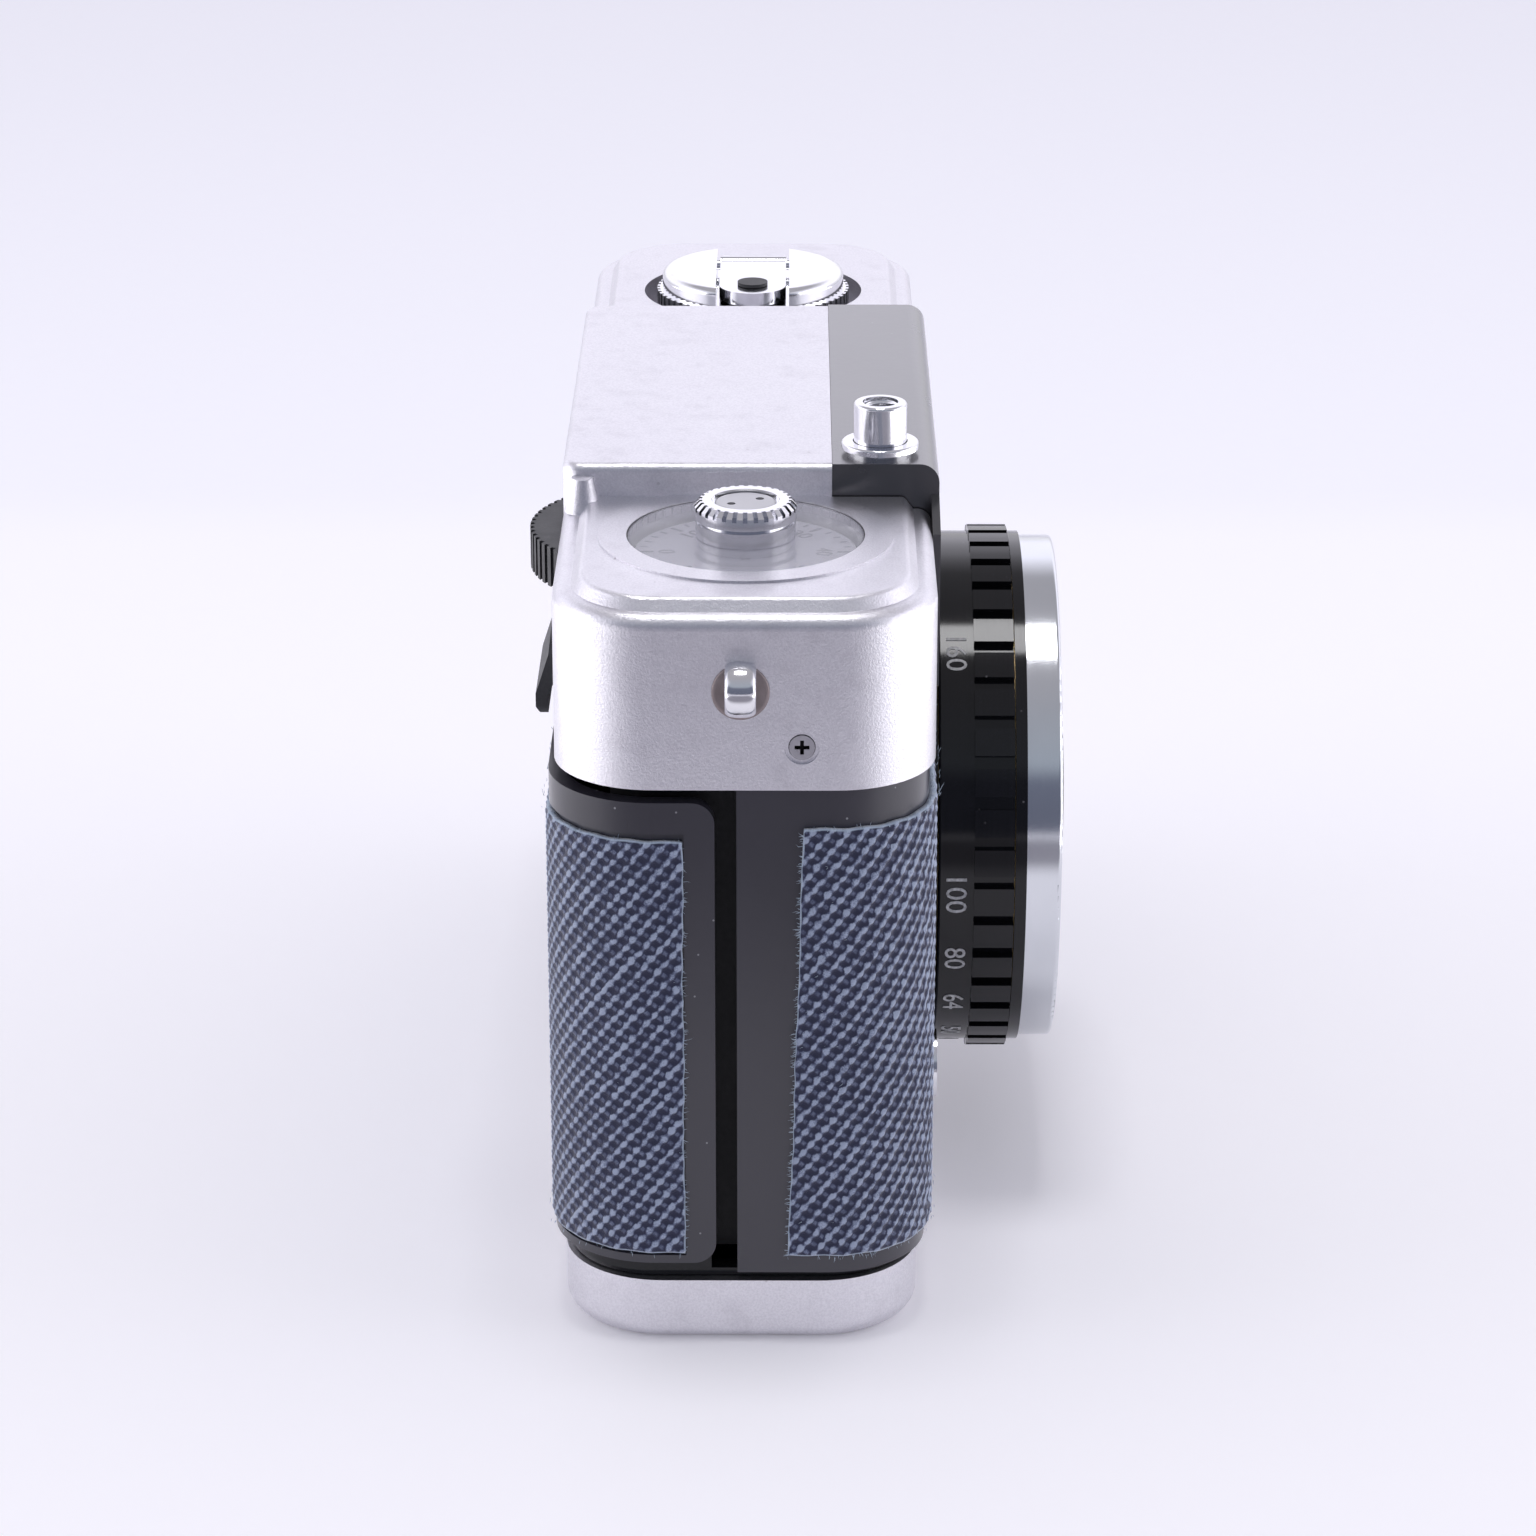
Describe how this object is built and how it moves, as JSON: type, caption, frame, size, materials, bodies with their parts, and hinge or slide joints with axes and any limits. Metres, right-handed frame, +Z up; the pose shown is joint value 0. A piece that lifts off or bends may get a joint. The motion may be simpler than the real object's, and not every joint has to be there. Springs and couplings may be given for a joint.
{
  "type": "half frame viewfinder camera",
  "caption": "Compact film camera with a ring light cell around the lens, thumb wheel advance, folding rewind crank and a removable back.",
  "frame": {"origin": "mouth of the tripod socket, in the middle of the underside", "axes": "+Z up, +X along the camera from the counter end to the rewind end, the lens looks along -Y, the film back is on +Y"},
  "size_m": [0.1154, 0.0449, 0.0703],
  "materials": {
    "satin_chrome": "satin chrome plate, bead blasted",
    "polished_chrome": "polished chrome plate",
    "black_enamel": "smooth semi-gloss black enamel",
    "charcoal_paint": "charcoal lacquer, lightly scuffed",
    "denim_covering": "blue twill covering, hand cut",
    "black_anodised": "gloss black anodised",
    "cast_alloy": "black painted die casting",
    "bare_steel": "plain steel",
    "brass": "plain turned brass",
    "black_plastic": "moulded, matt",
    "clear_glass": "clear",
    "coated_glass": "coated lens glass",
    "clear_plastic": "clear moulded plastic",
    "selenium": "dark lacquered cell",
    "dial_paint": "lavender grey dial with dark figures"
  },
  "bodies": {
    "camera_body": {"body_casting": "cast_alloy", "front_shell": "charcoal_paint", "front_leather_near": "denim_covering", "front_leather_far": "denim_covering", "top_deck": "bare_steel", "top_cover": "satin_chrome", "finder_panel": "black_enamel", "finder_window": "clear_glass", "frame_window": "clear_plastic", "finder_tunnel": "black_plastic", "eyepiece_frame": "black_plastic", "eyepiece_lens": "clear_glass", "button_collar": "polished_chrome", "counter_window": "clear_plastic", "strap_lugs": "polished_chrome", "cover_screws": "polished_chrome", "thumb_rest": "black_anodised", "pc_socket": "polished_chrome", "meter_unit": "bare_steel", "lens_flange": "black_anodised", "lens_barrel": "brass", "shutter_housing": "black_anodised", "retaining_ring": "black_anodised", "cell_bezel": "satin_chrome", "selenium_cell": "selenium", "cell_window": "clear_plastic", "name_ring": "black_anodised", "front_lens": "coated_glass", "rear_lens": "coated_glass"},
    "film_back": {"bottom_plate": "satin_chrome", "base_frame": "charcoal_paint", "tripod_socket": "bare_steel", "back_shell": "charcoal_paint", "back_leather": "denim_covering", "pressure_plate": "black_anodised", "pressure_springs": "bare_steel"},
    "latch": {"latch_disc": "satin_chrome", "latch_cam": "bare_steel"},
    "latch_flap": {"latch_tab": "polished_chrome"},
    "release": {"shutter_button": "polished_chrome", "button_spring": "bare_steel"},
    "upper_blade": {"blade_upper": "black_anodised"},
    "lower_blade": {"blade_lower": "black_anodised"},
    "advance": {"advance_wheel": "black_plastic", "wheel_shaft": "bare_steel", "sprocket": "bare_steel"},
    "takeup": {"takeup_spool": "black_plastic", "takeup_shaft": "brass"},
    "counter": {"counter_dial": "dial_paint", "counter_knob": "polished_chrome", "counter_screw": "polished_chrome"},
    "speed_setting": {"speed_ring": "black_anodised", "grip_ring": "black_anodised"},
    "needle": {"meter_needle": "brass"},
    "rewind_lift": {"rewind_sleeve": "brass"},
    "rewind": {"rewind_knob": "polished_chrome", "rewind_fork": "bare_steel"},
    "crank": {"rewind_crank": "polished_chrome"},
    "crank_handle": {"crank_grip": "black_plastic"},
    "rewind_release": {"release_button": "polished_chrome"}
  },
  "joints": [
    {"name": "back_removal", "type": "slide", "parent": "camera_body", "child": "film_back", "axis": [0, 0, -1], "range_m": [0, 0.045]},
    {"name": "latch_turn", "type": "hinge", "parent": "film_back", "child": "latch", "pos_m": [0.034, 0, 0], "axis": [0, 0, 1], "range_deg": [0, 90]},
    {"name": "tab_fold", "type": "hinge", "parent": "latch", "child": "latch_flap", "pos_m": [0.034, 0, 0.0005], "axis": [-1, 0, 0], "range_deg": [0, 90]},
    {"name": "shutter_press", "type": "slide", "parent": "camera_body", "child": "release", "axis": [0, 0, -1], "range_m": [0, 0.0025], "stiffness_N_per_m": 200, "springref_m": -0.003, "deforming": ["button_spring"]},
    {"name": "upper_blade_swing", "type": "hinge", "parent": "camera_body", "child": "upper_blade", "pos_m": [-0.0082, -0.0174, 0.0415], "axis": [0, 1, 0], "range_deg": [0, 52.2]},
    {"name": "lower_blade_swing", "type": "hinge", "parent": "camera_body", "child": "lower_blade", "pos_m": [-0.0082, -0.0181, 0.0195], "axis": [0, 1, 0], "range_deg": [0, 52.2]},
    {"name": "advance_turn", "type": "hinge", "parent": "camera_body", "child": "advance", "pos_m": [-0.026, 0.0063, 0.0586], "axis": [0, 0, 1], "continuous": true},
    {"name": "takeup_turn", "type": "hinge", "parent": "camera_body", "child": "takeup", "pos_m": [-0.0381, 0, 0.0305], "axis": [0, 0, 1], "continuous": true},
    {"name": "counter_turn", "type": "hinge", "parent": "camera_body", "child": "counter", "pos_m": [-0.0381, 0, 0.0617], "axis": [0, 0, 1], "continuous": true},
    {"name": "speed_ring_turn", "type": "hinge", "parent": "camera_body", "child": "speed_setting", "pos_m": [-0.0082, -0.019, 0.0305], "axis": [0, 1, 0], "range_deg": [-60, 75]},
    {"name": "needle_swing", "type": "hinge", "parent": "camera_body", "child": "needle", "pos_m": [0.0186, -0.0015, 0.0588], "axis": [0, 0, 1], "range_deg": [-20, 20], "stiffness_Nm_per_rad": 0.000002},
    {"name": "rewind_pull", "type": "slide", "parent": "camera_body", "child": "rewind_lift", "axis": [0, 0, 1], "range_m": [0, 0.004]},
    {"name": "rewind_turn", "type": "hinge", "parent": "rewind_lift", "child": "rewind", "pos_m": [0.036, 0, 0.062], "axis": [0, 0, 1], "continuous": true},
    {"name": "crank_fold", "type": "hinge", "parent": "rewind", "child": "crank", "pos_m": [0.0405, 0, 0.0645], "axis": [0, 1, 0], "range_deg": [0, 170]},
    {"name": "crank_grip_turn", "type": "hinge", "parent": "crank", "child": "crank_handle", "pos_m": [0.031, 0, 0.063], "axis": [0, 0, 1], "continuous": true},
    {"name": "rewind_release_press", "type": "slide", "parent": "camera_body", "child": "rewind_release", "axis": [0, 0, 1], "range_m": [0, 0.001], "stiffness_N_per_m": 250, "springref_m": -0.002}
  ],
  "couplings": [
    {"joint": "upper_blade_swing", "follows": "shutter_press", "rad_per_m": 363},
    {"joint": "lower_blade_swing", "follows": "shutter_press", "rad_per_m": 363},
    {"joint": "takeup_turn", "follows": "advance_turn", "ratio": -1},
    {"joint": "counter_turn", "follows": "advance_turn", "ratio": -0.027778}
  ]
}
